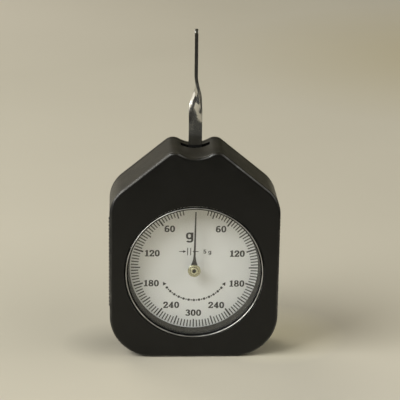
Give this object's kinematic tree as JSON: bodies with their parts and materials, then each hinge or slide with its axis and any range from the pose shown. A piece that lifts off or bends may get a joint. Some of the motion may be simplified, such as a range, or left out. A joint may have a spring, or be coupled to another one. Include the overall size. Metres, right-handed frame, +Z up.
{
  "type": "dial tension gauge",
  "caption": "Hand-held gauge: a sprung lever twisted into a flat feeler turns a pointer over a round double scale in a moulded case.",
  "frame": {"origin": "middle of the foot of the case, at mid depth", "axes": "+Z up along the lever, -Y the way the dial faces, +X to the dial's right"},
  "size_m": [0.0606, 0.0206, 0.1173],
  "materials": {
    "case": "black moulded plastic with a fine grain and a slight sheen",
    "chrome": "bright chrome plate",
    "lens": "clear flat window",
    "gasket": "black rubber",
    "dial": "pale grey satin paint with black printed scales",
    "needle": "black paint",
    "spring_steel": "blued spring steel",
    "steel": "turned bright steel",
    "brass": "pale turned brass"
  },
  "bodies": {
    "case": {"bezel_ring": "chrome", "cover_screw_1": "steel", "cover_screw_2": "steel", "cover_screw_3": "steel", "cover_screw_4": "steel", "dial_foot_left": "brass", "dial_foot_right": "brass", "dial_plate": "dial", "front_arbor_bush": "brass", "front_case": "case", "front_movement_plate": "brass", "front_shaft_bush": "brass", "hairspring": "spring_steel", "hairspring_stud": "brass", "lens": "lens", "lens_gasket": "gasket", "measuring_spring": "spring_steel", "movement_screw_1": "steel", "movement_screw_2": "steel", "movement_screw_3": "steel", "pillar_1": "brass", "pillar_2": "brass", "pillar_3": "brass", "pillar_screw_1": "steel", "pillar_screw_2": "steel", "pillar_screw_3": "steel", "rear_arbor_bush": "brass", "rear_cover": "case", "rear_movement_plate": "brass", "rear_shaft_bush": "brass", "spring_post": "steel", "stop_pin_left": "steel", "stop_pin_right": "steel"},
    "lever": {"lever_arm": "chrome", "lever_shaft": "steel", "lever_collar": "brass", "lever_nut": "steel", "sector_gear": "brass", "spring_collet": "brass"},
    "pointer": {"pointer_arbor": "steel", "pointer_hub": "brass", "pointer_needle": "needle", "hairspring_collet": "brass"}
  },
  "joints": [
    {"name": "lever_swing", "type": "hinge", "parent": "case", "child": "lever", "pos_m": [0, 0, 0.0625], "axis": [0, 1, 0], "range_deg": [-11.25, 11.25], "stiffness_Nm_per_rad": 0.82},
    {"name": "pointer_spin", "type": "hinge", "parent": "case", "child": "pointer", "pos_m": [0, 0, 0.0322], "axis": [0, 1, 0], "range_deg": [-180, 180]}
  ],
  "couplings": [
    {"joint": "pointer_spin", "follows": "lever_swing", "ratio": -16}
  ]
}
